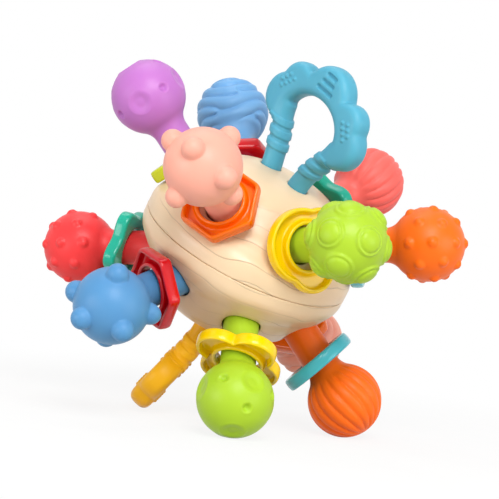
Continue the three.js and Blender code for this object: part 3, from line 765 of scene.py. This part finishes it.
def cloudBand():
    bm = bmesh.new()
    half, cut, rows = handle["thickness"] / 2, handle["edgeRound"], handle["cornerRows"]
    section = []
    for sx, sy in ((1, 1), (-1, 1), (-1, -1), (1, -1)):
        for k in range(rows):
            a = math.atan2(sy, sx) + math.radians(-45 + 90 * k / (rows - 1))
            section.append((sx, sx * -cut + cut * math.cos(a), sy * (half - cut) + cut * math.sin(a)))
    near, far = handle["guideIn"], handle["guideOut"]
    verts = [bm.verts.new(((far if sx > 0 else near) + x, y, 0)) for sx, x, y in section]
    face = bm.faces.new(verts)
    first = math.radians(handle["first"])
    bmesh.ops.rotate(bm, verts=bm.verts, cent=(0, 0, 0), matrix=Matrix.Rotation(-first, 3, "Y"))
    sweep = math.radians(handle["last"] - handle["first"])
    bmesh.ops.spin(bm, geom=[face], cent=(0, 0, 0), axis=(0, -1, 0), angle=sweep, steps=handle["cloudSteps"])
    for vert in bm.verts:
        a = math.atan2(vert.co.z, vert.co.x)
        if a < -math.pi / 2:  # the far end has passed half a turn
            a += math.tau
        reach = math.hypot(vert.co.x, vert.co.z)
        inside, outside = archReach(a), cloudReach(a)
        if reach > (near + far) / 2:
            share = (outside + max(reach - far, (inside - outside) / 2)) / reach
        else:
            share = (inside + min(reach - near, (outside - inside) / 2)) / reach
        vert.co.x *= share
        vert.co.z *= share
        vert.co.z += handle["archH"]
    return bm


def ribRise(p, path):
    side = 1 if p.x > 0 else -1
    best = min(range(len(path)), key=lambda i: (path[i].x - side * p.x) ** 2 + (path[i].y - p.z) ** 2)
    at = path[best]
    away = Vector((p.x - side * at.x, p.y, p.z - at.y))
    rise, edge = 0.0, handle["ribEdge"]
    if handle["ribIn"] <= away.length <= handle["legRadius"] + handle["ribOut"]:
        for h in handle["ribs"]:
            s = (p.z - h) / handle["ribLength"]
            if 0 <= s <= 1:
                rise = smooth(0.0, edge, s) * (1 - smooth(1 - edge, 1.0, s))
    return away.normalized() * handle["ribRise"] * rise


def faceMark(p):
    # rows of dots on the side lobes, three bars under the top
    rise = 0.0
    w, h = abs(p.x), p.z - handle["archH"]
    along = Vector(handle["dotsAlong"])
    across = Vector((along.y, -along.x))
    for row, count in handle["dotRows"]:
        start = Vector(handle["dotsAt"]) + across * handle["dotRowGap"] * row
        for i in range(count):
            spot = start + along * handle["dotPitch"] * (i - (count - 1) / 2)
            out = (Vector((w, h)) - spot).length / handle["dotRadius"]
            if out < 1:
                rise = max(rise, handle["dotRise"] * math.sqrt(1 - out * out))
    for barH, halfLength in handle["bars"]:
        out = math.hypot(max(w - halfLength + handle["barEnd"], 0.0), h - barH)
        rise -= handle["barDepth"] * (1 - smooth(*handle["barEdge"], out))
    return rise


def bend(p, degrees, towards):
    # the legs curve outside the shell and carry the cloud along
    along = max(p.z - handle["bendLow"], 0.0)
    if along == 0:
        return p
    radius = handle["bendLength"] / math.radians(degrees)
    a = min(along, handle["bendLength"]) / radius
    beyond = max(along - handle["bendLength"], 0.0)
    side = Matrix.Rotation(math.radians(towards), 3, "Z")
    q = side.inverted() @ p
    return side @ Vector((radius * (1 - math.cos(a)) + q.x * math.cos(a) + beyond * math.sin(a), q.y,
                          handle["bendLow"] + (radius - q.x) * math.sin(a) + beyond * math.cos(a)))


def makeHandle(name, place, bow, material):
    # bow: by how many degrees the legs curve, and which way round the pole
    bm = cloudBand()
    addLeg(bm, 1)
    addLeg(bm, -1)
    bmesh.ops.recalc_face_normals(bm, faces=bm.faces)
    made = meshOf(bm, name + "_form", Matrix.Identity(4))
    join = made.modifiers.new("join", "REMESH")
    join.mode = "VOXEL"
    join.voxel_size = handle["voxel"] / 1000
    bm = taken(baked(made))
    for _ in range(handle["smoothings"]):
        bmesh.ops.smooth_vert(bm, verts=bm.verts, factor=0.5, use_axis_x=True, use_axis_y=True, use_axis_z=True)
    bm.normal_update()
    path = legPath()
    face = handle["thickness"] / 2 - handle["faceDepth"]
    ribLow, ribHigh = handle["ribs"][0], handle["ribs"][-1] + handle["ribLength"]
    for vert in bm.verts:
        p = vert.co.copy()
        if ribLow < p.z < ribHigh:
            vert.co += ribRise(p, path)
        if abs(p.y) > face and abs(vert.normal.y) > handle["faceLevel"]:
            vert.co.y += faceMark(p) * (1 if p.y > 0 else -1)
        vert.co = bend(vert.co, *bow)
    made = meshOf(bm, name + "_soft", place)
    return mounted(made, name, name, material)


upPlace = framed(joints["blue_cloud_sway"]["axis"], pole, bodyCentre)
downPlace = framed(joints["yellow_cloud_sway"]["axis"], -pole, bodyCentre)
makeHandle("blue_cloud_handle", upPlace, (4, 0), soft["cyan"])
makeHandle("yellow_cloud_handle", downPlace, (16, 90), soft["amber"])
print("handles: 2")
cream = creamShell()
makeShell("upper_shell", 1, upPlace, cream)
makeShell("lower_shell", -1, downPlace, cream)
print("shells: 2")


# inner parts keep their CAD shape and get a finish


def whitePlastic():
    material, tree, shader = newFinish("whitePlastic")
    filled(tree, shader, {
        "Base Color": ramped(tree, grainOf(tree, 40.0), paint(232, 229, 221), paint(244, 241, 234)),
        "Roughness": ranged(tree, grainOf(tree, 150.0), 0.35, 0.5),
        "Normal": bumped(tree, grainOf(tree, 700.0), 0.00005, 0.3),
    })
    return material


def screwSteel():
    material, tree, shader = newFinish("screwSteel")
    filled(tree, shader, {
        "Base Color": ramped(tree, grainOf(tree, 300.0), paint(150, 154, 160), paint(186, 190, 196)),
        "Roughness": ranged(tree, grainOf(tree, 500.0), 0.22, 0.4),
        "Metallic": 1.0,
    })
    return material


innerFinishes = {  # by a word in the node's name, the first that fits
    "screw": screwSteel(),
    "retainer": whitePlastic(),
    "bead": hardGloss("beadPlastic", paint(240, 196, 60)),
}
for name, node in frame["nodes"].items():
    word = next((word for word in innerFinishes if word in name), None)
    if word:
        node.data.materials.clear()
        node.data.materials.append(innerFinishes[word])
print("inner parts finished")


# camera, floor and light

camera = {  # fitted to the photograph: 499 pixels square, 0.37 mm for each pixel at the body
    "pixel": 0.00037, "distance": 1950.0, "size": 499.0, "bodyAt": (247.3, 248.2),
    "right": (0.8894, 0.1352, 0.4367), "up": (-0.4571, 0.2630, 0.8496),
}
turn = bodyFrame.to_3x3()
right = (turn @ Vector(camera["right"])).normalized()
up = turn @ Vector(camera["up"])
back = right.cross(up).normalized()
up = back.cross(right)
half = camera["size"] / 2
aim = bodyCentre + (right * (half - camera["bodyAt"][0]) - up * (half - camera["bodyAt"][1])) * camera["pixel"]
lens = bpy.data.cameras.new("photoCamera")
lens.sensor_width = 36.0
lens.angle = 2 * math.atan(half / camera["distance"])
lens.clip_start, lens.clip_end = 0.01, 50.0
viewer = bpy.data.objects.new("photoCamera", lens)
viewer.matrix_world = Matrix.Translation(aim + back * camera["distance"] * camera["pixel"]) @ Matrix(
    (right, up, back)).transposed().to_4x4()
scene.collection.objects.link(viewer)
scene.camera = viewer
scene.view_settings.view_transform = "Standard"
print("camera at", [round(c, 4) for c in viewer.location])

studio = {
    "floorRadius": 4000, "floor": (246, 245, 243), "floorDim": (242, 241, 239), "bounce": (204, 200, 194),
    "paperNear": 0.12, "paperFar": 0.24, "paperGlow": 0.87, "worldStrength": 0.32,
    # lamps by their place to the right of, above and in front of the body, their size in metres and power
    "key": (0.15, 0.52, 0.72, 0.42, 6.0), "fill": (-0.7, 0.02, 0.5, 0.5, 4.3),
    "side": (0.7, 0.0, 0.5, 0.5, 2.8), "top": (-0.05, 0.85, -0.15, 0.5, 1.8),
}


def seenDirectly(tree):
    path = added(tree, "LightPath", {})
    seen = path.outputs["Is Camera Ray"]
    for kind in ("Is Glossy Ray", "Is Transmission Ray"):
        seen = reckoned(tree, "MAXIMUM", seen, path.outputs[kind])
    return seen


def surfaced(tree, output, factor, first, second):
    mix = added(tree, "MixShader", {"Fac": factor, 1: first.outputs[0], 2: second.outputs[0]})
    tree.links.new(mix.outputs[0], tree.nodes[output].inputs["Surface"])


def makeFloor():
    bm = bmesh.new()
    bmesh.ops.create_circle(bm, cap_ends=True, segments=96, radius=studio["floorRadius"])
    floor = meshOf(bm, "floor", Matrix.Identity(4))
    material, tree, shader = newFinish("floorPaper")
    tone = ramped(tree, grainOf(tree, 90.0), paint(*studio["floorDim"]), paint(*studio["floor"]))
    # the toy gets less light back from the paper than the camera sees
    colour = blended(tree, seenDirectly(tree), paint(*studio["bounce"]), tone)
    filled(tree, shader, {"Base Color": colour, "Roughness": 0.9})
    # the paper keeps the shadow near the toy and runs out into the white background
    where = added(tree, "TexCoord", {}).outputs["Object"]
    away = added(tree, "VectorMath", {0: where}, operation="LENGTH").outputs["Value"]
    fade = ranged(tree, away, studio["paperGlow"], 1.0, studio["paperNear"], studio["paperFar"], "SMOOTHSTEP")
    seen = reckoned(tree, "MULTIPLY", fade, seenDirectly(tree))
    surfaced(tree, "Material Output", seen, shader, added(tree, "Emission", {}))
    floor.data.materials.append(material)


def areaLight(name, spec):
    x, y, z, size, power = spec
    lamp = bpy.data.lights.new(name, "AREA")
    lamp.size, lamp.energy = size, power
    made = bpy.data.objects.new(name, lamp)
    made.location = bodyCentre + right * x + up * y + back * z
    made.rotation_euler = (bodyCentre - made.location).to_track_quat("-Z", "Y").to_euler()
    scene.collection.objects.link(made)


def makeWorld():
    world = bpy.data.worlds.new("studioWorld")
    world.use_nodes = True
    scene.world = world
    tree = world.node_tree
    white = (1, 1, 1, 1)
    dim = filled(tree, tree.nodes["Background"], {"Color": white, "Strength": studio["worldStrength"]})
    bright = added(tree, "Background", {"Color": white, "Strength": 1.0})
    surfaced(tree, "World Output", seenDirectly(tree), dim, bright)


makeFloor()
makeWorld()
for light in ("key", "fill", "side", "top"):
    areaLight(light + "Light", studio[light])
print("studio: floor, world and 4 lamps")
